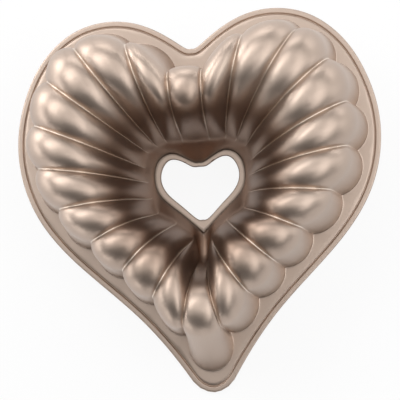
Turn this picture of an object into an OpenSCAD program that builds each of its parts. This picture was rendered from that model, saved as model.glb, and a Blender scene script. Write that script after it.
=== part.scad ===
// Heart shaped fluted tube pan, cast in one piece.
// It is drawn upside down, as it stands on its rim: the open side is down and the flutes are up.
// X runs across the heart, Y from its tip to its notch, Z up, and the rim rests on z = 0.

/* [Overall] */
// Width across the rim
pan_w = 272; // [250:1:290]
// Length of the rim, from the tops of the heart to its tip
pan_l = 282; // [262:1:320]
// Height from the rim to the tops of the flutes
pan_h = 88; // [74:1:105]
// Thickness of the cast wall
wall = 3.2; // [2.4:0.1:4]

/* [Rim] */
// Thickness of the flange
flange_t = 3.2; // [2.6:0.1:5]
// Flange between the edge and the valleys at the widest place
flange_side = 18; // [16:0.5:24]
// Flange between the edge and the valleys at the tops of the heart
flange_top = 21; // [20.5:0.5:27]
// From the tip of the rim to the last pair of valleys
flange_tip = 44.5; // [41.5:0.5:56]
// Width of the bead along the edge
bead_w = 3.6; // [2.6:0.1:4.4]
// Height of the bead over the flange
bead_h = 0.6; // [0.2:0.1:1.5]
// Width of the fine groove inside the bead
groove_w = 1.8; // [1:0.1:2.6]
// Depth of the fine groove below the flange
groove_d = 0.6; // [0.2:0.1:1.2]
// Rounding of the outer edge
edge_r = 1; // [0.5:0.1:1.2]

/* [Flutes] */
// Half angle of the round section of a flute, in degrees
flute_arc = 50; // [40:1:62]
// The same angle of the flute at the tip
tip_arc = 88; // [70:1:89]
// Half angle of the scallop that a flute draws on the flange, in degrees
scallop_arc = 51; // [40:1:53]
// How far the flute at the tip reaches beyond its two valleys
tip_reach = 27.5; // [18:0.5:29]
// Place of the crest, as a share of the way from the flange to the collar
crest_place = 0.39; // [0.36:0.01:0.43]
// Radius of the crest, as a share of the same way
crest_round = 0.37; // [0.3:0.01:0.38]
// Share of the turn from the crest's top to the collar that the crest takes, before a wider curve
crest_turn = 0.5; // [0.45:0.05:0.9]
// Where that curve aims, as a share of the way from the crest to the collar
curve_reach = 0.75; // [0.65:0.05:0.8]
// How long the valleys stay deep on the way down to the collar: the higher, the longer
groove_hold = 5; // [1:1:8]
// Fillet between the flutes and the flange
foot_r = 1.6; // [1:0.1:2]

/* [Tube] */
// Width of the collar where the flutes end
collar_w = 79; // [76:1:86]
// Length of the collar where the flutes end
collar_l = 89; // [86:1:94]
// Middle of the collar, ahead of the middle of the rim
collar_y = 1; // [0:0.5:3]
// Height of the collar's outer edge over the rim plane
collar_z = 15; // [10:0.5:20]
// Width of the heart shaped ledge at the foot of the collar
ledge_w = 68; // [64:1:72]
// Length of the ledge, to its sharp tip
ledge_l = 61; // [57:1:65]
// Middle of the ledge, ahead of the middle of the rim
ledge_y = 7.5; // [6:0.5:9]
// Thickness of the ledge
ledge_t = 3; // [2:0.1:4]
// Height of the step from the collar down to the ledge
ledge_step = 1.5; // [0.5:0.1:2.5]
// Width of the heart shaped hole
hole_w = 58.5; // [52:0.5:61]
// Length of the hole
hole_l = 46.5; // [42:0.5:49]
// Middle of the hole, ahead of the middle of the rim
hole_y = 10; // [9:0.5:11]

/* [Hidden] */
finish = [0.72, 0.63, 0.55];

// Steps across each flute, and along each stretch of a drawn outline
flute_steps = 6;
curve_steps = 10;

// Right halves of the outlines, from the notch to the tip, as control points of smooth curves.
// Only their form counts: each curve is stretched to the sizes above.
rim_pts = [[0, 115], [3, 113], [20, 128], [49, 142], [86, 139], [114, 117], [130, 88], [140, 49],
    [132, 2], [103, -39], [48, -86], [16, -133], [14, -138], [0, -146]];
ledge_pts = [[0, 29], [2, 27], [15, 36], [23, 37], [33, 30], [34, 10], [26, 0], [13, -11], [0, -24]];
hole_pts = [[0, 25], [5, 24], [11, 29], [23, 34], [31, 19], [26, 6], [15, -3], [3, -16], [0, -14]];

// Valleys between the flutes where they meet the flange, and where they reach the collar
valley_pts = [[12, 96], [44, 120], [84, 120], [106, 96], [118, 63], [117, 30], [103, -2], [80, -29],
    [58, -52], [37, -73], [14, -96]];
collar_pts = [[10, 45], [22, 45], [29, 42], [36, 38], [39, 27], [37, 16], [35, 4], [31, -7],
    [18, -15], [6, -27], [3, -43]];
flutes = len(valley_pts);

// Rings over the outside and back through the inside, as steps along the section of the wall:
// 0 to 1 is the outer wall, 1 to 2 the crest with its top at 1.5, and 2 to 3 the curve to the collar
out_steps = [0.3, 0.65, 1, 1.12, 1.25, 1.37, 1.5, 1.62, 1.75, 1.87, 2, 2.2, 2.4, 2.6, 2.78, 2.92, 3];
in_steps = [2.75, 2.4, 2.1, 1.85, 1.65, 1.45, 1.2, 1, 0.5];
foot_step = foot_r / (pan_h / 2);
slope_step = 0.04;
turn_step = 0.01;

// How far the stations on the rim are drawn to the nearest flutes
near_pull = 0.8;

function flip(p) = [-p.x, p.y];
function unit(v) = v / norm(v);
function mix(a, b, t) = a + (b - a) * t;
function round_share(arc) = tan(arc / 2) / 2;

// Points stretched to span w by l, with their middle at y = cy
function fit(pts, w, l, cy) =
    let (hx = max([for (p = pts) p.x]), hi = max([for (p = pts) p.y]), lo = min([for (p = pts) p.y]))
    [for (p = pts) [p.x / hx * w / 2, cy + ((p.y - lo) / (hi - lo) - 0.5) * l]];

// Right half of a smooth outline, drawn by control points. A sharp one ends on its last point.
function bend(a, b, c, d, t) =
    (a * pow(1 - t, 3) + b * (3 * pow(t, 3) - 6 * pow(t, 2) + 4)
        + c * (-3 * pow(t, 3) + 3 * pow(t, 2) + 3 * t + 1) + d * pow(t, 3)) / 6;
function half_curve(pts, sharp = false) =
    let (n = len(pts), beyond = sharp ? 2 * pts[n - 1] - pts[n - 2] : flip(pts[n - 2]),
        all = concat([flip(pts[1])], pts, [beyond]))
    [for (k = [0 : n - 2]) for (i = [0 : k < n - 2 ? curve_steps - 1 : curve_steps])
        bend(all[k], all[k + 1], all[k + 2], all[k + 3], i / curve_steps)];

// Smooth curve through the valleys: v is 0.5 at the first, 1.5 at the second, and so on
function through(pts, v) =
    let (n = len(pts), k = min(floor(v + 0.5), n), t = v + 0.5 - k,
        all = concat([flip(pts[1]), flip(pts[0])], pts, [flip(pts[n - 1]), flip(pts[n - 2])]),
        a = all[k], b = all[k + 1], c = all[k + 2], d = all[k + 3])
    b + ((c - a) * t + (2 * a - 5 * b + 4 * c - d) * pow(t, 2) + (3 * b - a - 3 * c + d) * pow(t, 3)) / 2;

// Width of a flute between its two valleys
function flute_w(pts, n) =
    n == 0 ? 2 * pts[0].x : n == flutes ? 2 * pts[flutes - 1].x : norm(pts[n] - pts[n - 1]);

// Length of a line of points up to each of them, as a share of the whole
function shares_of(pts) =
    let (s = [for (i = 0, s = 0; i < len(pts); s = s + (i + 1 < len(pts) ? norm(pts[i + 1] - pts[i]) : 0),
        i = i + 1) s])
    s / s[len(s) - 1];

// Shares of an outline that lie abreast of the points of another line, so that the two can be joined.
// Along the last flute they are spaced evenly.
function near_shares(pts, line) =
    let (s = shares_of(pts), own = shares_of(line), end = len(line) - 1, last = end - flute_steps,
        near = [for (i = [0 : last])
            let (far = [for (p = pts) norm(p - line[i])])
            i == 0 ? 0 : mix(own[i], s[search(min(far), far)[0]], near_pull)])
    concat(near, [for (i = [1 : flute_steps]) mix(near[last], 1, i / flute_steps)]);

// Whole ring from its right half
function ring(half) =
    concat(half, [for (i = [len(half) - 2 : -1 : 1]) [-half[i].x, half[i].y, half[i].z]]);

// Ring at height z on a drawn outline, d inside it, with its stations at the given shares of it
function outline_ring(pts, shares, d, z) =
    let (s = shares_of(pts), end = len(shares) - 1,
        xs = [for (i = [0 : len(pts) - 1]) [s[i], pts[i].x]],
        ys = [for (i = [0 : len(pts) - 1]) [s[i], pts[i].y]],
        at = [for (f = shares) [lookup(f, xs), lookup(f, ys)]],
        side = [for (i = [0 : end])
            i == 0 ? [0, -1] : i == end ? [0, 1]
                : let (t = unit(at[i + 1] - at[i - 1])) [t.y, -t.x]])
    ring([for (i = [0 : end]) [at[i].x + d * side[i].x, at[i].y + d * side[i].y, z]]);

// Section of the wall at one station, as [distance from the valley to the collar, height]:
// a line from e1 up to a round crest, the crest, and a wide curve from it down to e2. A valley runs
// by its sag below that curve.
function section(e1, c, r, e2, s, sag = 0) =
    let (up = atan2(c.y - e1.y, c.x - e1.x) + asin(r / norm(c - e1)),
        down = (atan2(e2.y - c.y, e2.x - c.x) - asin(r / norm(e2 - c))) * crest_turn,
        turn = s < 1.5 ? up * 2 * (1.5 - max(s, 1)) : down * 2 * (min(s, 2) - 1.5),
        on_crest = c + r * [-sin(turn), cos(turn)])
    s < 1 ? mix(e1, on_crest, s) : s > 2 ? wide_curve(on_crest, turn, e2, s - 2, sag) : on_crest;
function wide_curve(from, turn, to, t, sag) =
    let (way = to - from, lead = curve_reach * way.x * [1, tan(turn)],
        along = unit(mix(lead, way - lead, t)))
    from + lead * 2 * t * (1 - t) + way * pow(t, 2) + sag * [along.y, -along.x];

// Stations round the right half, as [flute, place across it from -1 to 1], twice as fine at the tip
stations = concat(
    [for (i = [flute_steps / 2 : flute_steps - 1]) [0, 2 * i / flute_steps - 1]],
    [for (n = [1 : flutes - 1]) for (i = [0 : flute_steps - 1]) [n, 2 * i / flute_steps - 1]],
    [for (i = [0 : flute_steps]) [flutes, i / flute_steps - 1]]);

valleys = fit(valley_pts, pan_w - 2 * flange_side, pan_l - flange_top - flange_tip,
    (flange_tip - flange_top) / 2);
collar = fit(collar_pts, collar_w, collar_l, collar_y);

// Where a station lies among the valleys, and how far it bulges between them
function arc_of(n) = n == flutes ? tip_arc : flute_arc;
function place(p) = p[0] + sin(arc_of(p[0]) * p[1]) / sin(arc_of(p[0])) / 2;
function bulge(p) = (cos(arc_of(p[0]) * p[1]) - cos(arc_of(p[0]))) / (1 - cos(arc_of(p[0])));

// Point of the wall at one station. The section lies in the plane from the valley to the collar, and
// the scallop at its foot leans out of that plane, square to the line of the valleys.
function flute_point(p, s) =
    let (n = p[0], at = place(p), foot = through(valleys, at), head = through(collar, at),
        way = norm(head - foot), dir = (head - foot) / way, side = [-dir.y, dir.x],
        along = unit(through(valleys, at + turn_step) - through(valleys, at - turn_step)),
        reach = n == flutes ? tip_reach : flute_w(valleys, n) * round_share(scallop_arc),
        out = [-along.y, along.x] * reach,
        end_depth = flute_w(collar, n) * round_share(flute_arc),
        depth = mix(flute_w(valleys, n) * round_share(flute_arc), end_depth, crest_place),
        slope = max(s - 2, 0),
        sag = mix(depth, end_depth, slope) * (1 - pow(slope, groove_hold)) - depth * (1 - slope),
        r = crest_round * way, c = [crest_place * way, pan_h - r], end = [way, collar_z],
        low = section([0, flange_t], c, r - depth, end, s, sag),
        high = section([out * dir, flange_t], c, r, end, s),
        q = mix(low, high, bulge(p)), lean = out * side * bulge(p) * pow(max(1 - s, 0), 2))
    [foot.x + dir.x * q.x + side.x * lean, foot.y + dir.y * q.x + side.y * lean, q.y];
function flute_ring(s) = ring([for (p = stations) flute_point(p, s)]);

// Ring on the inside of the wall, behind the ring at step s
function inside_ring(s) =
    let (a = flute_ring(s - slope_step), b = flute_ring(s), c = flute_ring(s + slope_step), n = len(b))
    [for (i = [0 : n - 1])
        b[i] + wall * unit(cross(b[(i + 1) % n] - b[(i + n - 1) % n], c[i] - a[i]))];

// Ring on the inside of the wall, below the outer edge of the collar
under_collar = ring([for (p = stations)
    let (at = place(p), head = through(collar, at),
        along = unit(through(collar, at + turn_step) - through(collar, at - turn_step)))
    [head.x - wall * along.y, head.y + wall * along.x, collar_z - wall / 2]]);

// Ring of the fillet between the flutes and the flange: t = 0 on the flange, t = 1 on the wall
function fillet_ring(t) =
    let (foot = flute_ring(0), top = flute_ring(foot_step), n = len(foot))
    [for (i = [0 : n - 1])
        let (a = foot[(i + n - 1) % n], b = foot[(i + 1) % n], u = unit([b.x - a.x, b.y - a.y]),
            out = foot[i] + foot_r * [-u.y, u.x, 0])
        out * pow(1 - t, 2) + foot[i] * 2 * t * (1 - t) + top[i] * pow(t, 2)];

function flat(ring, z) = [for (p = ring) [p.x, p.y, z]];

rim_curve = fit(half_curve(rim_pts), pan_w, pan_l, 0);
ledge_curve = fit(half_curve(ledge_pts, sharp = true), ledge_w, ledge_l, ledge_y);
hole_curve = fit(half_curve(hole_pts), hole_w, hole_l, hole_y);
rim_shares = near_shares(rim_curve, [for (p = stations) let (f = flute_point(p, 0)) [f.x, f.y]]);
hub_shares = shares_of([for (p = stations) through(collar, place(p))]);
bead_top = flange_t + bead_h;

function rim_ring(d, z) = outline_ring(rim_curve, rim_shares, d, z);
function ledge_ring(d, z) = outline_ring(ledge_curve, hub_shares, d, z);

// The skin as one closed loop of rings: edge, bead, groove, flange, flutes, collar, ledge, hole,
// and back up and over through the inside to the mouth
skin = concat(
    [rim_ring(edge_r, 0), rim_ring(0, edge_r), rim_ring(0, bead_top - edge_r), rim_ring(edge_r, bead_top),
        rim_ring(bead_w, bead_top), rim_ring(bead_w + groove_w / 2, flange_t - groove_d),
        rim_ring(bead_w + groove_w, flange_t)],
    [for (t = [0, 0.5, 1]) fillet_ring(t)],
    [for (s = out_steps) flute_ring(s)],
    [ledge_ring(0, ledge_t + ledge_step), ledge_ring(ledge_step / 4, ledge_t),
        outline_ring(hole_curve, hub_shares, 0, ledge_t), outline_ring(hole_curve, hub_shares, 0, 0),
        ledge_ring(-wall / 2, 0), under_collar],
    [for (s = in_steps) inside_ring(s)],
    [flat(inside_ring(foot_step), 0)]);

// Skin through a closed loop of rings, each with the same number of points. The left half mirrors the right.
module loop_of_rings(rings) {
    n = len(rings[0]);
    m = len(rings);
    polyhedron([for (r = rings) each r],
        [for (j = [0 : m - 1]) for (i = [0 : n - 1])
            let (k = (j + 1) % m, h = (i + 1) % n, a = j * n + i, b = j * n + h, c = k * n + h, d = k * n + i)
            each i < n / 2 ? [[a, b, c], [a, c, d]] : [[a, b, d], [b, c, d]]],
        convexity = 10);
}

module pan() {
    color(finish) loop_of_rings(skin);
}

pan();
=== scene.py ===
import math

import bpy
import numpy as np
from bpy.props import FloatProperty, FloatVectorProperty, IntProperty, PointerProperty
from mathutils import Euler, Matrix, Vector


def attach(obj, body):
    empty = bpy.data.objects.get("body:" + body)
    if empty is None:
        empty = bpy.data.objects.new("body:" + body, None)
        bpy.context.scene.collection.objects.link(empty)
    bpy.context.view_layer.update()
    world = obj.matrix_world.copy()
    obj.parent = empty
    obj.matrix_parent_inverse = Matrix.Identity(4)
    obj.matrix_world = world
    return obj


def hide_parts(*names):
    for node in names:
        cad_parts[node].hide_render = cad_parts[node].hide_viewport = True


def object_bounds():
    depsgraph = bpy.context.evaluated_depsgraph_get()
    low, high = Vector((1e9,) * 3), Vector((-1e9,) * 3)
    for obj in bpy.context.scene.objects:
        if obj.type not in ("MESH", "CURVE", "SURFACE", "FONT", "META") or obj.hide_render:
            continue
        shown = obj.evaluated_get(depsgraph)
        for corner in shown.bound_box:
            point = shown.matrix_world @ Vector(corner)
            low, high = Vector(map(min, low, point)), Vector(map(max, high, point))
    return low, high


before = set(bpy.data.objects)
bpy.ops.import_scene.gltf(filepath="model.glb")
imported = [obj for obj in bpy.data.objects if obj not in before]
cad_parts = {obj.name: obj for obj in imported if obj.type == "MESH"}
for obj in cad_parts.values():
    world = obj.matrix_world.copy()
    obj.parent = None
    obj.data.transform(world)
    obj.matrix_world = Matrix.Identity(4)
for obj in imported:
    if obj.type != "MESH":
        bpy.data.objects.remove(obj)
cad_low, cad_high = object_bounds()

bl_info = {
    "name": "Heart fluted tube pan",
    "version": (1, 0, 0),
    "blender": (4, 5, 0),
    "location": "3D View > Sidebar > Tube pan",
    "description": "Builds a heart shaped fluted tube pan, its coating and a plain studio",
    "category": "Add Mesh",
}

MM = 0.001

# Right halves of the outlines in millimetres, from the notch to the tip, the same as in the part's
# source: control points of smooth curves, and the valleys where they meet the flange and the collar.
# They were fitted to the photograph and rounded
RIM = [(0, 115), (3, 113), (20, 128), (49, 142), (86, 139), (114, 117), (130, 88), (140, 49),
       (132, 2), (103, -39), (48, -86), (16, -133), (14, -138), (0, -146)]
LEDGE = [(0, 29), (2, 27), (15, 36), (23, 37), (33, 30), (34, 10), (26, 0), (13, -11), (0, -24)]
HOLE = [(0, 25), (5, 24), (11, 29), (23, 34), (31, 19), (26, 6), (15, -3), (3, -16), (0, -14)]
VALLEYS = [(12, 96), (44, 120), (84, 120), (106, 96), (118, 63), (117, 30), (103, -2), (80, -29),
           (58, -52), (37, -73), (14, -96)]
COLLAR = [(10, 45), (22, 45), (29, 42), (36, 38), (39, 27), (37, 16), (35, 4), (31, -7),
          (18, -15), (6, -27), (3, -43)]

# Stations across half a flute, as distances from its valley, where 1 is its middle
FROM_VALLEY = (0, 0.022, 0.05, 0.09, 0.145, 0.215, 0.31, 0.42, 0.55, 0.7, 0.85)
# Share of half a flute beside each valley that is softened
SOFT_SHARE = 0.1
# Softening of the wall's first rings, and of the rings where it meets the collar, from a step on
FOOT_SOFT = (1, 1, 1, 0.8, 0.5)
HEAD_SOFT, HEAD_SOFT_FROM = 0.9, 2.93
# Rings on the flange outside the foot: millimetres from the foot, and softening
FOOT_RINGS = ((3.4, 0.3), (2.3, 0.6), (1.5, 0.9), (0.9, 1), (0.4, 1))
# Rounding of the hole's edge and of the mouth below
HOLE_EDGE = 0.5 * MM
MOUTH_EDGE = 0.6 * MM
# Share of half a flute that the painted highlight line beside a valley takes, and its growth in each step
# after 1
HIGHLIGHT_WIDTH, HIGHLIGHT_SPREAD = 0.05, 0.04

# Distance of the lamps, shift of the camera along its own X, and the place it turns about
LAMP_DISTANCE = 1.5
CAMERA_SHIFT = -1.756 * MM
CAMERA_AIM = Vector((0.32 * MM, 1.65 * MM, 0))
# Brightness of the floor and the surroundings to the camera, and of the floor in gloss
SEEN, SEEN_IN_GLOSS = 0.88, 0.4


class PanSizes(bpy.types.PropertyGroup):
    """Sizes of the pan, the same as in the part's source."""

    wall: FloatProperty(name="Wall", description="Thickness of the cast wall",
                        default=3.2 * MM, unit="LENGTH")
    flange: FloatProperty(name="Flange", description="Thickness of the flange",
                          default=3.2 * MM, unit="LENGTH")
    flange_side: FloatProperty(name="Flange at the sides",
                               description="From the edge to the valleys at the widest place",
                               default=18 * MM, unit="LENGTH")
    flange_top: FloatProperty(name="Flange at the top",
                              description="From the edge to the valleys at the tops of the heart",
                              default=21 * MM, unit="LENGTH")
    flange_tip: FloatProperty(name="Flange at the tip",
                              description="From the tip of the rim to the last pair of valleys",
                              default=44.5 * MM, unit="LENGTH")
    bead_width: FloatProperty(name="Bead width", description="Width of the bead along the edge",
                              default=3.6 * MM, unit="LENGTH")
    bead_height: FloatProperty(name="Bead height", description="Height of the bead over the flange",
                               default=0.6 * MM, unit="LENGTH")
    groove_width: FloatProperty(name="Groove width", description="Width of the fine groove inside the bead",
                                default=1.8 * MM, unit="LENGTH")
    groove_depth: FloatProperty(name="Groove depth", description="Depth of the fine groove",
                                default=0.6 * MM, unit="LENGTH")
    edge: FloatProperty(name="Edge rounding", description="Rounding of the outer edge",
                        default=1 * MM, unit="LENGTH")
    flute_arc: FloatProperty(name="Flute arc", description="Half angle of the round section of a flute",
                             default=math.radians(50), subtype="ANGLE")
    tip_arc: FloatProperty(name="Tip flute arc",
                           description="Half angle of the section of the flute at the tip",
                           default=math.radians(88), subtype="ANGLE")
    scallop_arc: FloatProperty(name="Scallop arc",
                               description="Half angle of the scallop a flute draws on the flange",
                               default=math.radians(51), subtype="ANGLE")
    tip_reach: FloatProperty(name="Tip reach",
                             description="How far the flute at the tip reaches beyond its valleys",
                             default=27.5 * MM, unit="LENGTH")
    crest_place: FloatProperty(name="Crest place",
                               description="Place of the crest on the way from flange to collar",
                               default=0.39, subtype="FACTOR")
    crest_round: FloatProperty(name="Crest radius",
                               description="Radius of the crest as a share of that way",
                               default=0.37, subtype="FACTOR")
    crest_turn: FloatProperty(name="Crest turn",
                              description="Share of the turn down that the crest takes",
                              default=0.5, subtype="FACTOR")
    curve_reach: FloatProperty(name="Curve reach",
                               description="Where the wide curve aims on the way to the collar",
                               default=0.75, subtype="FACTOR")
    groove_hold: FloatProperty(name="Groove hold",
                               description="How long the valleys stay deep toward the collar",
                               default=5)
    collar_width: FloatProperty(name="Collar width", description="Width of the collar where the flutes end",
                                default=79 * MM, unit="LENGTH")
    collar_length: FloatProperty(name="Collar length",
                                 description="Length of the collar where the flutes end",
                                 default=89 * MM, unit="LENGTH")
    collar_ahead: FloatProperty(name="Collar place",
                                description="Middle of the collar ahead of the middle of the rim",
                                default=1 * MM, unit="LENGTH")
    collar_height: FloatProperty(name="Collar height", description="Height of the collar's outer edge",
                                 default=15 * MM, unit="LENGTH")
    ledge_width: FloatProperty(name="Ledge width", description="Width of the heart shaped ledge",
                               default=68 * MM, unit="LENGTH")
    ledge_length: FloatProperty(name="Ledge length", description="Length of the ledge to its sharp tip",
                                default=61 * MM, unit="LENGTH")
    ledge_ahead: FloatProperty(name="Ledge place",
                               description="Middle of the ledge ahead of the middle of the rim",
                               default=7.5 * MM, unit="LENGTH")
    ledge_thickness: FloatProperty(name="Ledge thickness", description="Thickness of the ledge",
                                   default=3 * MM, unit="LENGTH")
    ledge_step: FloatProperty(name="Ledge step", description="Step from the collar down to the ledge",
                              default=1.5 * MM, unit="LENGTH")
    hole_width: FloatProperty(name="Hole width", description="Width of the heart shaped hole",
                              default=58.5 * MM, unit="LENGTH")
    hole_length: FloatProperty(name="Hole length", description="Length of the hole",
                               default=46.5 * MM, unit="LENGTH")
    hole_ahead: FloatProperty(name="Hole place",
                              description="Middle of the hole ahead of the middle of the rim",
                              default=10 * MM, unit="LENGTH")
    rounding: IntProperty(name="Rounding",
                          description="Rounds of softening in the valleys, at the foot and at the edges",
                          default=5, min=0, max=40)


class CoatingLook(bpy.types.PropertyGroup):
    """Colours and finish of the coating, with its painted shade and painted highlight lines."""

    colour: FloatVectorProperty(name="Coating", description="Colour of the bronze coating",
                                subtype="COLOR", size=3, default=(0.575, 0.465, 0.39))
    deep_colour: FloatVectorProperty(name="Deep coating", description="Colour where the coating is thicker",
                                     subtype="COLOR", size=3, default=(0.48, 0.38, 0.315))
    # Painted shade: the colour that the coating is darkened to down the funnel, where shade falls in the
    # tube
    funnel_shade_colour: FloatVectorProperty(name="Tube coating",
                                     description="Colour where the coating gathers down the tube",
                                     subtype="COLOR", size=3, default=(0.29, 0.195, 0.145))
    # Painted highlight: the pale lines along the valleys between the flutes stand in for the glint of light
    # there
    groove_highlight_colour: FloatVectorProperty(name="Groove lines",
                                     description="Colour of the thin lines between the flutes",
                                     subtype="COLOR", size=3, default=(0.95, 0.85, 0.74))
    # Painted shade: the thin dark lines stand in for the shade at the step round the ledge and at the hole's
    # edge
    crease_shade_colour: FloatVectorProperty(name="Crease",
                                       description="Colour of the thin dark lines round the ledge",
                                       subtype="COLOR", size=3, default=(0.13, 0.10, 0.08))
    roughness: FloatProperty(name="Roughness", description="Mean roughness of the coating",
                             default=0.42, subtype="FACTOR")


class StudioSetup(bpy.types.PropertyGroup):
    """Camera, lamps and floor."""

    distance: FloatProperty(name="Camera distance", description="From the camera to the rim plane",
                            default=1.0, unit="LENGTH")
    tilt: FloatVectorProperty(name="Camera turn", description="Turn of the camera about X, Y and Z",
                              subtype="EULER", size=3,
                              default=(math.radians(2.958), math.radians(5.124), math.radians(-3.936)))
    lens: FloatProperty(name="Lens", description="Focal length for a 36 mm sensor",
                        default=120.6, unit="CAMERA")
    overhead: FloatProperty(name="Overhead lamp", description="Power of the lamps overhead",
                            default=2.2, unit="POWER")
    key: FloatProperty(name="Key lamp", description="Power of the main lamp at the upper left",
                       default=5.4, unit="POWER")
    side: FloatProperty(name="Side lamp", description="Power of each lamp at the right",
                        default=2.7, unit="POWER")
    low: FloatProperty(name="Low lamp", description="Power of the low lamp at the upper left",
                       default=2.6, unit="POWER")
    sweep: FloatProperty(name="Sweep", description="Power of the strongest of the low lamps round the pan",
                         default=4.1, unit="POWER")


class Wire:
    """A node socket that takes part in arithmetic. Each operation adds its Math node."""

    def __init__(self, board, socket):
        self.board = board
        self.socket = socket

    def math(self, operation, *others):
        return self.board.math(operation, self, *others)

    def __add__(self, other):
        return self.math("ADD", other)

    def __sub__(self, other):
        return self.math("SUBTRACT", other)

    def __mul__(self, other):
        return self.math("MULTIPLY", other)

    def __truediv__(self, other):
        return self.math("DIVIDE", other)

    def __pow__(self, other):
        return self.math("POWER", other)

    def __rsub__(self, other):
        return self.board.math("SUBTRACT", other, self)

    def __rtruediv__(self, other):
        return self.board.math("DIVIDE", other, self)

    __radd__ = __add__


class Board:
    """A node tree that is filled by one method."""

    def __init__(self, tree):
        self.tree = tree

    def node(self, kind, settings=None, inputs=None):
        made = self.tree.nodes.new(kind)
        for name, value in (settings or {}).items():
            setattr(made, name, value)
        for name, value in (inputs or {}).items():
            self.feed(made.inputs[name], value)
        return made

    def feed(self, socket, value):
        if isinstance(value, Wire):
            self.tree.links.new(value.socket, socket)
        else:
            socket.default_value = value

    def wire(self, node, name=0):
        return Wire(self, node.outputs[name])

    def math(self, operation, *values):
        made = self.node("ShaderNodeMath", {"operation": operation})
        for socket, value in zip(made.inputs, values):
            self.feed(socket, value)
        return self.wire(made)


def stretched(points, width, length, ahead):
    """Points stretched to a width and a length, with their middle ahead of the rim's."""
    p = np.array(points, float)
    low, high = p[:, 1].min(), p[:, 1].max()
    return np.stack([p[:, 0] / p[:, 0].max() * width / 2,
                     ahead + ((p[:, 1] - low) / (high - low) - 0.5) * length], 1)


def half_outline(points, width, length, ahead, sharp=False, steps=40):
    """Right half of a smooth outline, drawn by control points. A sharp one ends on its last point."""
    p = np.array(points, float)
    beyond = 2 * p[-1] - p[-2] if sharp else p[-2] * (-1, 1)
    p = np.vstack([p[1] * (-1, 1), p, beyond])
    t = np.linspace(0, 1, steps, endpoint=False)[:, None]
    weights = ((1 - t) ** 3, 3 * t ** 3 - 6 * t ** 2 + 4, -3 * t ** 3 + 3 * t ** 2 + 3 * t + 1, t ** 3)
    parts = [sum(w * q for w, q in zip(weights, p[k:k + 4])) / 6 for k in range(len(p) - 3)]
    last = (p[-3] + 4 * p[-2] + p[-1]) / 6
    return stretched(np.vstack(parts + [last]), width, length, ahead)


def through(points, v):
    """Smooth curve through the valleys: v is 0.5 at the first, 1.5 at the second, and so on."""
    n = len(points)
    flip = (-1, 1)
    p = np.vstack([points[1] * flip, points[0] * flip, points, points[n - 1] * flip, points[n - 2] * flip])
    k = np.minimum(np.floor(v + 0.5), n).astype(int)
    t = (v + 0.5 - k)[:, None]
    a, b, c, d = p[k], p[k + 1], p[k + 2], p[k + 3]
    return b + ((c - a) * t + (2 * a - 5 * b + 4 * c - d) * t ** 2 + (3 * b - a - 3 * c + d) * t ** 3) / 2


def outward(points, at, aside=0.01):
    """Direction out of the smooth curve through the valleys, at each place on it."""
    along = through(points, at + aside) - through(points, at - aside)
    along /= np.linalg.norm(along, axis=1)[:, None]
    return np.stack([-along[:, 1], along[:, 0]], 1)


def flute_widths(points):
    """Width of each flute between its two valleys, from the notch to the tip."""
    between = np.linalg.norm(np.diff(points, axis=0), axis=1)
    return np.concatenate([[2 * points[0, 0]], between, [2 * points[-1, 0]]])


def shares_of(line):
    """Length of a line of points up to each of them, as a share of the whole."""
    s = np.concatenate([[0], np.cumsum(np.linalg.norm(np.diff(line, axis=0), axis=1))])
    return s / s[-1]


def near_shares(outline, line, at_tip, pull=0.8, crowd=1.15):
    """Shares of an outline that lie abreast of the points of another line, so that the two can be joined.
    Along the last flute they close up toward the tip, where at_tip rises from 0 to 1."""
    far = np.linalg.norm(outline[None] - line[:, None], axis=2)
    shares = shares_of(line) * (1 - pull) + shares_of(outline)[far.argmin(axis=1)] * pull
    shares[0] = 0
    last = shares[at_tip == 0][-1]
    return np.where(at_tip > 0, 1 - (1 - last) * (1 - at_tip) ** crowd, shares)


def whole(half):
    """Whole ring from the values on its right half. Points are mirrored, other values are repeated."""
    other = half[-2:0:-1].copy()
    if half.ndim == 2:
        other[:, 0] *= -1
    return np.concatenate([half, other])


def along_outline(outline, shares, inside):
    """Points of an outline at given shares of its length, moved inside by a distance."""
    s = shares_of(outline)
    at = np.stack([np.interp(shares, s, outline[:, 0]), np.interp(shares, s, outline[:, 1])], 1)
    side = np.zeros_like(at)
    run = at[2:] - at[:-2]
    run /= np.linalg.norm(run, axis=1)[:, None]
    side[1:-1] = np.stack([run[:, 1], -run[:, 0]], 1)
    side[0], side[-1] = (0, -1), (0, 1)
    return at + inside * side


def ring_at(points, height):
    """Whole ring of points at a height."""
    flat = whole(points)
    return np.column_stack([flat, np.full(len(flat), height)])


def flute_stations(flutes):
    """Flute and place across it, from -1 to 1, for each station of the right half."""
    half = 1 - np.array(FROM_VALLEY)
    number, place = [], []
    for n in range(flutes + 1):
        rising = [] if n == 0 else list(-half)
        falling = [] if n == flutes else list(half[::-1][:-1])
        places = rising + [0.0] + falling
        number += [n] * len(places)
        place += places
    return np.array(number), np.array(place)


def wall_steps():
    """Steps over the section: 0 to 1 the outer wall, 1 to 2 the crest, 2 to 3 the curve to the collar."""
    foot = [0, 0.01, 0.021, 0.034, 0.05, 0.075, 0.11]
    return np.concatenate([foot, np.linspace(0.18, 1, 9), np.linspace(1.045, 2, 22),
                           np.linspace(2.1, 2.8, 8), [2.88, 2.94, 2.98, 3]])


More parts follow.
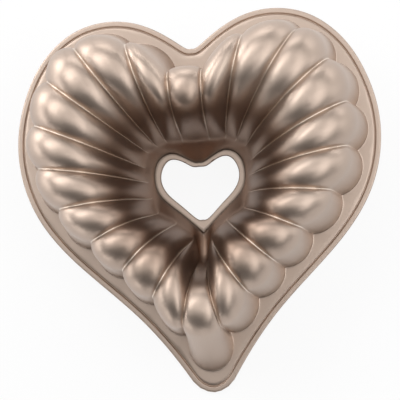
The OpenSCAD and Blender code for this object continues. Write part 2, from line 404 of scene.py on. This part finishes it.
def guide_rings(sizes):
    """Rings of the pan's skin in order, with what the node tree needs to shape each of them."""
    width, length = cad_high.x - cad_low.x, cad_high.y - cad_low.y
    valleys = stretched(VALLEYS, width - 2 * sizes.flange_side,
                        length - sizes.flange_top - sizes.flange_tip,
                        (sizes.flange_tip - sizes.flange_top) / 2)
    collar = stretched(COLLAR, sizes.collar_width, sizes.collar_length, sizes.collar_ahead)
    number, place = flute_stations(len(VALLEYS))
    tip = number == len(VALLEYS)
    arc = np.where(tip, sizes.tip_arc, sizes.flute_arc)
    at = number + np.sin(arc * place) / np.sin(arc) / 2
    bulge = (np.cos(arc * place) - np.cos(arc)) / (1 - np.cos(arc))
    foot, head = through(valleys, at), through(collar, at)
    foot_widths = flute_widths(valleys)[number]
    reach = np.where(tip, sizes.tip_reach, foot_widths * math.tan(sizes.scallop_arc / 2) / 2)
    out = outward(valleys, at) * reach[:, None]
    rise = math.tan(sizes.flute_arc / 2) / 2
    end_depth = flute_widths(collar)[number] * rise
    depth = foot_widths * rise * (1 - sizes.crest_place) + end_depth * sizes.crest_place
    near_valley = np.clip(1 - (1 - np.abs(place)) / SOFT_SHARE, 0, 1)

    rim = half_outline(RIM, width, length, (cad_high.y + cad_low.y) / 2)
    ledge = half_outline(LEDGE, sizes.ledge_width, sizes.ledge_length, sizes.ledge_ahead, sharp=True)
    hole = half_outline(HOLE, sizes.hole_width, sizes.hole_length, sizes.hole_ahead)
    scallops = foot + out * bulge[:, None]
    rim_shares = near_shares(rim, scallops, np.where(tip, 1 + place, 0))
    hub_shares = shares_of(head)
    bead_top = sizes.flange + sizes.bead_height
    inward = (head - foot) / np.linalg.norm(head - foot, axis=1)[:, None]

    rings = []

    # A ring of fixed points; dark is the share of painted shade that it carries
    def fixed(points, height, soft=0.0, dark=0.0):
        rings.append({"points": ring_at(points, height), "step": -1.0, "soft": soft, "dark": dark})

    def rim_ring(inside, height):
        fixed(along_outline(rim, rim_shares, inside), height)

    def ledge_ring(inside):
        return along_outline(ledge, hub_shares, inside)

    # Rounded edge and bead
    edge = sizes.edge
    for turn in np.linspace(0, math.pi / 2, 5):
        rim_ring(edge * (1 - math.sin(turn)), edge * (1 - math.cos(turn)))
    for turn in np.linspace(0, math.pi / 2, 5):
        rim_ring(edge * (1 - math.cos(turn)), bead_top - edge * (1 - math.sin(turn)))
    for share in (0.45, 0.7, 0.85):
        rim_ring(sizes.bead_width * share, bead_top)

    # Fine groove
    dip = sizes.bead_height + sizes.groove_depth
    for share in (0.0, 0.25, 0.5, 0.75, 1.0):
        rim_ring(sizes.bead_width + sizes.groove_width / 2 * share,
                 bead_top - dip * (1 - math.cos(math.pi * share)) / 2)
    for share in (0.3, 0.65, 1.0):
        rim_ring(sizes.bead_width + sizes.groove_width * (1 + share) / 2,
                 sizes.flange - sizes.groove_depth * (1 + math.cos(math.pi * share)) / 2)

    # Flange to the foot of the flutes
    inner_rim = along_outline(rim, rim_shares, sizes.bead_width + sizes.groove_width)
    gap = inner_rim - scallops
    gap_length = np.linalg.norm(gap, axis=1)[:, None]
    for share in (0.25, 0.55):
        fixed(inner_rim - gap * share, sizes.flange)
    for distance, soft in FOOT_RINGS:
        share = np.minimum(distance * MM / gap_length, 0.4 * distance / FOOT_RINGS[0][0])
        fixed(scallops + gap * share, sizes.flange, soft)

    # Fluted wall, which the node tree shapes
    steps = wall_steps()
    first = len(rings)
    for k, step in enumerate(steps):
        soft = FOOT_SOFT[k] if k < len(FOOT_SOFT) else 0.0
        rings.append({"points": ring_at(foot, sizes.flange), "step": step, "dark": 0.0,
                      "soft": HEAD_SOFT if step > HEAD_SOFT_FROM else soft})

    # Collar, step and ledge, with painted shade lines at the step and at the hole
    top, fall = sizes.ledge_thickness + sizes.ledge_step, sizes.ledge_step
    step_ring, low_ring = ledge_ring(0), ledge_ring(fall / 4)
    dark_from, dark_rise = 0.8, 5
    for share in (0.1, 0.25, 0.45, 0.65, 0.82, 0.93, 1.0):
        fixed(head + (step_ring - head) * share,
              sizes.collar_height + (top - sizes.collar_height) * share,
              HEAD_SOFT if share < 0.5 else 0.0, max(share - dark_from, 0) * dark_rise)
    for share in (0.25, 0.75, 1.0):
        fixed(ledge_ring(fall / 4 * share), top - fall * share, dark=1.0)
    hole_ring = along_outline(hole, hub_shares, 0)
    for share, dark in ((0.06, 0.9), (0.2, 0.5), (0.35, 0.0), (0.7, 0.0), (0.85, 0.15)):
        fixed(low_ring + (hole_ring - low_ring) * share, sizes.ledge_thickness, dark=dark)

    # Rounded edges of the hole, the upper one with painted shade
    for turn in np.linspace(0, math.pi / 2, 4):
        fixed(along_outline(hole, hub_shares, -HOLE_EDGE * (1 - math.sin(turn))),
              sizes.ledge_thickness - HOLE_EDGE * (1 - math.cos(turn)), dark=0.8)
    for turn in np.linspace(math.pi / 2, 0, 4):
        fixed(along_outline(hole, hub_shares, -HOLE_EDGE * (1 - math.sin(turn))),
              HOLE_EDGE * (1 - math.cos(turn)))

    # Underside: below the ledge and the collar, behind the wall and below the flange. Each ring behind
    # the wall has a twin in front of it. The wall's rings nearest to the flange and the collar have none
    fixed(ledge_ring(-sizes.wall / 2), 0.0)
    fixed(head + sizes.wall * outward(collar, at), sizes.collar_height - sizes.wall / 2)
    for k in range(len(steps) - 5, 6, -1):
        rings.append({"points": ring_at(foot, sizes.flange), "step": -2.0, "twin": first + k,
                      "soft": 0.0, "dark": 0.0})
    mouth = scallops + inward * sizes.wall
    fixed(mouth, MOUTH_EDGE)
    fixed(mouth - inward * MOUTH_EDGE, 0.0)
    fixed((mouth + along_outline(rim, rim_shares, edge)) / 2, 0.0)

    stations = {
        "foot_x": whole(foot)[:, 0], "foot_y": whole(foot)[:, 1],
        "head_x": whole(head)[:, 0], "head_y": whole(head)[:, 1],
        "out_x": whole(out)[:, 0], "out_y": whole(out)[:, 1],
        "bulge": whole(bulge), "depth": whole(depth), "end_depth": whole(end_depth),
        "near_valley": whole(near_valley), "from_valley": 1 - np.abs(whole(place)),
    }
    return rings, stations


def guide_mesh(sizes):
    """Closed grid of the pan's rings and stations, with the named attributes that the node tree reads."""
    rings, stations = guide_rings(sizes)
    count, n = len(rings), len(rings[0]["points"])
    points = np.concatenate([ring["points"] for ring in rings])
    row, column = np.meshgrid(np.arange(count), np.arange(n), indexing="ij")
    below, beside = (row + 1) % count, (column + 1) % n
    quads = np.stack([row * n + column, below * n + column, below * n + beside, row * n + beside], -1)
    mesh = bpy.data.meshes.new("pan_shell")
    mesh.from_pydata(points.tolist(), [], quads.reshape(-1, 4).tolist())
    repeated = {name: np.tile(values, count) for name, values in stations.items()}
    step = np.repeat([ring["step"] for ring in rings], n)
    ring_soft = np.repeat([ring["soft"] for ring in rings], n)
    own = np.arange(count * n)
    twin = np.concatenate([np.arange(n) + ring.get("twin", k) * n for k, ring in enumerate(rings)])
    on_wall = step >= 0
    repeated["soft"] = np.maximum(ring_soft, np.where(on_wall, repeated.pop("near_valley"), 0))
    repeated["step"] = np.maximum(step, 0)
    # Painted highlight along each valley, coming in above the foot and going before the collar
    line = 1 - repeated.pop("from_valley") / (HIGHLIGHT_WIDTH + HIGHLIGHT_SPREAD * np.maximum(step - 1, 0))
    start, rise, stop, fall = 0.4, 0.7, 3.1, 0.5
    comes = np.clip((step - start) / rise, 0, 1)
    goes = np.clip((stop - step) / fall, 0, 1)
    repeated["painted_highlight_line"] = np.clip(line, 0, 1) * (comes * goes)
    repeated["painted_shade_line"] = np.repeat([ring["dark"] for ring in rings], n)
    for name, values in repeated.items():
        mesh.attributes.new(name, "FLOAT", "POINT").data.foreach_set("value", values.astype(np.float32))
    mesh.attributes.new("on_wall", "BOOLEAN", "POINT").data.foreach_set("value", on_wall)
    mesh.attributes.new("inside", "BOOLEAN", "POINT").data.foreach_set("value", twin != own)
    mesh.attributes.new("twin", "INT", "POINT").data.foreach_set("value", twin.astype(np.int32))
    return mesh


def wall_section(board, start, top, radius, end, step, crest_turn, curve_reach, sag=0.0):
    """Section of the wall at each point, as distance from the valley and height: a line up to the round
    crest, the crest, and a wide curve from it down to the collar, moved in and down square to itself by
    the sag."""
    crest_x, crest_z = top
    before = (1.5 - step.math("MAXIMUM", 1.0).math("MINIMUM", 1.5)) * 2.0
    after = (step.math("MAXIMUM", 1.5).math("MINIMUM", 2.0) - 1.5) * 2.0 * crest_turn
    for point, sign, share in ((start, -1.0, before), (end, 1.0, after)):
        run = (point[0] - top[0]) * sign
        fall = top[1] - radius - point[1]
        turn = (board.math("ARCTAN2", fall, run)
                + (radius / (fall * fall + run * run) ** 0.5).math("ARCSINE")) * share
        crest_x = crest_x + radius * turn.math("SINE") * sign
        crest_z = crest_z - radius * (1.0 - turn.math("COSINE"))
    first = (1.0 - step).math("MAXIMUM", 0.0)
    last = (step - 2.0).math("MAXIMUM", 0.0)
    end_x, end_z = end[0] - crest_x, end[1] - crest_z
    lead_x = end_x * curve_reach
    lead_z = lead_x * turn.math("TANGENT") * -1.0
    along_x = lead_x * (1.0 - last * 2.0) + end_x * last
    along_z = lead_z * (1.0 - last * 2.0) + end_z * last
    sag = sag / (along_x * along_x + along_z * along_z) ** 0.5
    both = last * (1.0 - last) * 2.0
    return (crest_x + (start[0] - crest_x) * first + lead_x * both + end_x * last * last + along_z * sag,
            crest_z + (start[1] - crest_z) * first + lead_z * both + end_z * last * last - along_x * sag)


def fluted_tree():
    """Node tree that bends the guide mesh into flutes, softens it and gives it its wall."""
    tree = bpy.data.node_groups.new("Fluted wall", "GeometryNodeTree")
    face = tree.interface
    face.new_socket("Guide", in_out="INPUT", socket_type="NodeSocketGeometry")
    for name in ("Height", "Flange", "Collar height", "Crest place", "Crest radius", "Crest turn",
                 "Curve reach", "Groove hold", "Wall"):
        face.new_socket(name, in_out="INPUT", socket_type="NodeSocketFloat")
    face.new_socket("Rounding", in_out="INPUT", socket_type="NodeSocketInt")
    face.new_socket("Coating", in_out="INPUT", socket_type="NodeSocketMaterial")
    face.new_socket("Pan", in_out="OUTPUT", socket_type="NodeSocketGeometry")
    board = Board(tree)
    given = board.node("NodeGroupInput")

    def size(name):
        return board.wire(given, name)

    def read(name, kind="FLOAT"):
        return board.wire(board.node("GeometryNodeInputNamedAttribute", {"data_type": kind}, {"Name": name}),
                          "Attribute")

    step, bulge = read("step"), read("bulge")
    foot_x, foot_y = read("foot_x"), read("foot_y")
    out_x, out_y = read("out_x"), read("out_y")
    run_x, run_y = read("head_x") - foot_x, read("head_y") - foot_y
    way = (run_x * run_x + run_y * run_y) ** 0.5
    dir_x, dir_y = run_x / way, run_y / way
    radius, crest, depth = size("Crest radius") * way, size("Crest place") * way, read("depth")
    end = (way, size("Collar height"))
    zero = way * 0.0
    slope = (step - 2.0).math("MAXIMUM", 0.0)
    sag = (depth + (read("end_depth") - depth) * slope) * (1.0 - slope ** size("Groove hold"))
    low = wall_section(board, (zero, size("Flange")), (crest, size("Height") - depth),
                       radius - depth, end, step, size("Crest turn"), size("Curve reach"),
                       sag - depth * (1.0 - slope))
    high = wall_section(board, (out_x * dir_x + out_y * dir_y, size("Flange")),
                        (crest, size("Height") + zero), radius, end, step,
                        size("Crest turn"), size("Curve reach"))
    across = low[0] + (high[0] - low[0]) * bulge
    height = low[1] + (high[1] - low[1]) * bulge
    fade = (1.0 - step).math("MAXIMUM", 0.0)
    lean = (out_y * dir_x - out_x * dir_y) * bulge * fade * fade
    place = board.node("ShaderNodeCombineXYZ", None, {
        "X": foot_x + dir_x * across - dir_y * lean,
        "Y": foot_y + dir_y * across + dir_x * lean,
        "Z": height})
    bent = board.node("GeometryNodeSetPosition", None, {
        "Geometry": size("Guide"), "Selection": read("on_wall", "BOOLEAN"), "Position": board.wire(place)})
    position = board.wire(board.node("GeometryNodeInputPosition"))
    blurred = board.node("GeometryNodeBlurAttribute", {"data_type": "FLOAT_VECTOR"}, {
        "Value": position, "Iterations": size("Rounding"), "Weight": read("soft")})
    softened = board.node("GeometryNodeSetPosition", None, {
        "Geometry": board.wire(bent), "Position": board.wire(blurred)})
    twin = read("twin", "INT")
    outside = board.wire(board.node("GeometryNodeFieldAtIndex", {"data_type": "FLOAT_VECTOR"}, {
        "Value": position, "Index": twin}))
    facing = board.wire(board.node("GeometryNodeFieldAtIndex", {"data_type": "FLOAT_VECTOR"}, {
        "Value": board.wire(board.node("GeometryNodeInputNormal")), "Index": twin}))
    behind = board.node("ShaderNodeVectorMath", {"operation": "SCALE"}, {
        0: facing, "Scale": size("Wall") * -1.0})
    inner = board.node("ShaderNodeVectorMath", {"operation": "ADD"}, {
        0: outside, 1: board.wire(behind)})
    walled = board.node("GeometryNodeSetPosition", None, {
        "Geometry": board.wire(softened), "Selection": read("inside", "BOOLEAN"),
        "Position": board.wire(inner)})
    smooth = board.node("GeometryNodeSetShadeSmooth", None, {"Geometry": board.wire(walled)})
    real = board.node("GeometryNodeRealizeInstances", None, {"Geometry": board.wire(smooth)})
    coated = board.node("GeometryNodeSetMaterial", None, {
        "Geometry": board.wire(real), "Material": size("Coating")})
    board.node("NodeGroupOutput", None, {"Pan": board.wire(coated)})
    return tree


def plain_mesh(guide, tree, values):
    """Runs a node tree on an object and leaves its result as the object's plain mesh."""
    run = guide.modifiers.new(tree.name, "NODES")
    run.node_group = tree
    for item in tree.interface.items_tree:
        if item.in_out == "INPUT" and item.name in values:
            run[item.identifier] = values[item.name]
    graph = bpy.context.evaluated_depsgraph_get()
    result = bpy.data.meshes.new_from_object(guide.evaluated_get(graph))
    guide.modifiers.remove(run)
    old = guide.data
    guide.data = result
    bpy.data.meshes.remove(old)
    result.name = guide.name
    kept = ("sharp_face", "sharp_edge", "painted_highlight_line", "painted_shade_line")
    spare = [a.name for a in result.attributes if not a.is_required and a.name not in kept]
    for name in spare:
        if not name.startswith("material"):
            result.attributes.remove(result.attributes[name])


def bronze_coating(look):
    """Satin bronze coating: a metallic film with slow shifts of tone, fine orange peel and specks, painted
    shade down the funnel, painted highlight lines in the valleys and painted shade lines at the ledge.
    """
    material = bpy.data.materials.new("bronze_coating")
    material.use_nodes = True
    material.node_tree.nodes.clear()
    board = Board(material.node_tree)
    at = board.wire(board.node("ShaderNodeTexCoord"), "Object")

    def noise(scale, detail, rough=0.5):
        return board.wire(board.node("ShaderNodeTexNoise", None, {
            "Vector": at, "Scale": scale, "Detail": detail, "Roughness": rough}), 0)

    def blend(share, first, second):
        return board.wire(board.node("ShaderNodeMix", {"data_type": "RGBA"}, {
            0: share, 6: first, 7: second}), 2)

    cloud = noise(9.0, 3.0)
    speck = noise(900.0, 2.0)
    peel = noise(1600.0, 3.0, 0.6)
    tone = blend((cloud - 0.3) * 1.6, (*look.deep_colour, 1), (*look.colour, 1))
    split = board.node("ShaderNodeSeparateXYZ", None, {0: at})
    x, y, z = (board.wire(split, name) for name in "XYZ")
    # Painted shade: the coating darkens toward the tube's axis from the middle of the funnel down to the
    # ledge, in place of the shade in the funnel
    tube_ahead, funnel_reach, tube_reach = 0.008, 0.085, 0.034
    from_axis = (x ** 2.0 + (y - tube_ahead) ** 2.0) ** 0.5
    funnel_shade_share = board.node("ShaderNodeMapRange", {"interpolation_type": "SMOOTHSTEP"}, {
        "Value": from_axis, "From Min": funnel_reach, "From Max": tube_reach})
    ledge_level, collar_level = 0.0045, 0.006
    over_ledge = board.node("ShaderNodeMapRange", None, {
        "Value": z, "From Min": ledge_level, "From Max": collar_level})
    tone = blend(board.wire(funnel_shade_share) * board.wire(over_ledge), tone, (*look.funnel_shade_colour, 1))
    # Painted highlight lines along the valleys, and painted shade lines at the ledge's step and the hole's
    # edge
    for name, colour, share in (("painted_highlight_line", look.groove_highlight_colour, 0.8),
                                ("painted_shade_line", look.crease_shade_colour, 0.85)):
        line = board.wire(board.node("ShaderNodeAttribute", {"attribute_name": name}), "Fac")
        tone = blend(line * share, tone, (*colour, 1))
    shader = board.node("ShaderNodeBsdfPrincipled", None, {
        "Base Color": tone,
        "Roughness": look.roughness + (speck - 0.5) * 0.10 + (cloud - 0.5) * 0.06,
        "Metallic": 1.0})
    bump = board.node("ShaderNodeBump", None, {"Strength": 0.05, "Distance": 0.0002, "Height": peel})
    board.feed(shader.inputs["Normal"], board.wire(bump))
    board.node("ShaderNodeOutputMaterial", None, {"Surface": board.wire(shader)})
    return material


def studio_floor():
    """Pale floor that shows white to the camera and in gloss, and keeps the pan's shadow."""
    material = bpy.data.materials.new("studio_floor")
    material.use_nodes = True
    material.node_tree.nodes.clear()
    board = Board(material.node_tree)
    path = board.node("ShaderNodeLightPath")
    mirrored = board.wire(path, "Is Glossy Ray").math("MAXIMUM", board.wire(path, "Is Transmission Ray"))
    seen = (board.wire(path, "Is Camera Ray") * SEEN).math("MAXIMUM", mirrored * SEEN_IN_GLOSS)
    paper = board.node("ShaderNodeBsdfDiffuse", None, {"Color": (0.9, 0.9, 0.91, 1)})
    glow = board.node("ShaderNodeEmission", None, {"Color": (1, 1, 1, 1), "Strength": 1.0})
    mixed = board.node("ShaderNodeMixShader", None, {0: seen, 1: board.wire(paper), 2: board.wire(glow)})
    board.node("ShaderNodeOutputMaterial", None, {"Surface": board.wire(mixed)})
    return material


class PAN_OT_shell(bpy.types.Operator):
    """Makes the cast pan with its flutes, funnel, ledge and rim"""

    bl_idname = "pan.shell"
    bl_label = "Cast pan"

    def execute(self, context):
        scene = context.scene
        sizes = scene.pan_sizes
        shell = bpy.data.objects.new("pan_shell", guide_mesh(sizes))
        scene.collection.objects.link(shell)
        plain_mesh(shell, fluted_tree(), {
            "Height": cad_high.z, "Flange": sizes.flange, "Collar height": sizes.collar_height,
            "Crest place": sizes.crest_place, "Crest radius": sizes.crest_round,
            "Crest turn": sizes.crest_turn, "Curve reach": sizes.curve_reach,
            "Groove hold": sizes.groove_hold, "Wall": sizes.wall,
            "Rounding": sizes.rounding, "Coating": bronze_coating(scene.coating_look)})
        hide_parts("pan")
        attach(shell, "root")
        return {"FINISHED"}


class PAN_OT_studio(bpy.types.Operator):
    """Makes the floor, the lamps, the surroundings and the camera"""

    bl_idname = "pan.studio"
    bl_label = "Studio"

    def lamp(self, context, name, power, around, down, size):
        """Lamp that faces the pan: around from the right, down from straight above, in degrees."""
        data = bpy.data.lights.new(name, "AREA")
        data.shape = "ELLIPSE"
        data.energy = power
        data.size, data.size_y = size
        lamp = bpy.data.objects.new(name, data)
        around, down = math.radians(around), math.radians(down)
        place = Vector((math.sin(down) * math.cos(around), math.sin(down) * math.sin(around),
                        math.cos(down)))
        lamp.location = place * LAMP_DISTANCE
        lamp.rotation_euler = place.to_track_quat("Z", "Y").to_euler()
        context.scene.collection.objects.link(lamp)

    def execute(self, context):
        scene = context.scene
        studio = scene.studio_setup
        # The floor lies a little below the rim, because surfaces in one plane render as noise
        floor_mesh = bpy.data.meshes.new("floor")
        half, level = 3.0, -0.1 * MM
        corners = [(-half, -half, level), (half, -half, level), (half, half, level), (-half, half, level)]
        floor_mesh.from_pydata(corners, [], [(0, 1, 2, 3)])
        floor = bpy.data.objects.new("floor", floor_mesh)
        floor.data.materials.append(studio_floor())
        scene.collection.objects.link(floor)

        world = bpy.data.worlds.new("studio")
        scene.world = world
        world.use_nodes = True
        world.node_tree.nodes.clear()
        board = Board(world.node_tree)
        path = board.node("ShaderNodeLightPath")
        ambient = 0.12
        sky = board.node("ShaderNodeBackground", None, {
            "Color": (1, 1, 1, 1), "Strength": board.wire(path, "Is Camera Ray") * SEEN + ambient})
        board.node("ShaderNodeOutputWorld", None, {"Surface": board.wire(sky)})

        # Overhead lamps, stronger toward the right
        square = (0.8, 0.8)
        self.lamp(context, "top", studio.overhead * 0.7, 0, 0, square)
        for around in (0, 90, 180):
            share = 0.7 + 0.3 * math.cos(math.radians(around))
            self.lamp(context, "top_%d" % around, studio.overhead * share, around, 24, square)

        # Main lamps at the upper left, with a weak one on either side
        broad = (0.8, 0.7)
        self.lamp(context, "key", studio.key, 148, 46, broad)
        self.lamp(context, "key_back", studio.key * 0.75, 115, 46, broad)
        for around in (80, 185):
            self.lamp(context, "fill_%d" % around, studio.key * 0.2, around, 46, broad)

        # Lamps at the right
        long = (0.9, 0.7)
        for around in (0, 40, 325):
            self.lamp(context, "side_%d" % around, studio.side, around, 45, long)
        self.lamp(context, "side_low", studio.side / 2, 10, 68, long)

        # Low lamps: one at the upper left, and a ring that is strongest there
        self.lamp(context, "low", studio.low, 146, 84, (0.9, 0.3))
        for around in range(0, 360, 45):
            share = 0.6 + 0.4 * math.cos(math.radians(around - 130))
            self.lamp(context, "sweep_%d" % around, studio.sweep * share, around, 83, (1.1, 0.3))

        data = bpy.data.cameras.new("camera")
        data.lens = studio.lens
        data.sensor_width = 36
        camera = bpy.data.objects.new("camera", data)
        turn = Euler(studio.tilt, "XYZ")
        camera.rotation_euler = turn
        camera.location = turn.to_matrix() @ Vector((CAMERA_SHIFT, 0, studio.distance)) + CAMERA_AIM
        scene.collection.objects.link(camera)
        scene.camera = camera
        scene.view_settings.view_transform = "Standard"
        return {"FINISHED"}


class PAN_PT_panel(bpy.types.Panel):
    """Lists the pan's sizes, coating and studio"""

    bl_label = "Tube pan"
    bl_idname = "PAN_PT_panel"
    bl_space_type = "VIEW_3D"
    bl_region_type = "UI"
    bl_category = "Tube pan"

    def draw(self, context):
        layout = self.layout
        for title, group in (("Sizes", "pan_sizes"), ("Coating", "coating_look"),
                             ("Studio", "studio_setup")):
            layout.label(text=title)
            owner = getattr(context.scene, group)
            for name in owner.bl_rna.properties.keys():
                if name not in ("rna_type", "name"):
                    layout.prop(owner, name)
        layout.operator("pan.shell")
        layout.operator("pan.studio")


CLASSES = (PanSizes, CoatingLook, StudioSetup, PAN_OT_shell, PAN_OT_studio, PAN_PT_panel)


def register():
    for kind in CLASSES:
        bpy.utils.register_class(kind)
    bpy.types.Scene.pan_sizes = PointerProperty(type=PanSizes)
    bpy.types.Scene.coating_look = PointerProperty(type=CoatingLook)
    bpy.types.Scene.studio_setup = PointerProperty(type=StudioSetup)


def unregister():
    del bpy.types.Scene.pan_sizes, bpy.types.Scene.coating_look, bpy.types.Scene.studio_setup
    for kind in reversed(CLASSES):
        bpy.utils.unregister_class(kind)


def main():
    register()
    bpy.ops.pan.shell()
    bpy.ops.pan.studio()


if __name__ == "__main__":
    main()
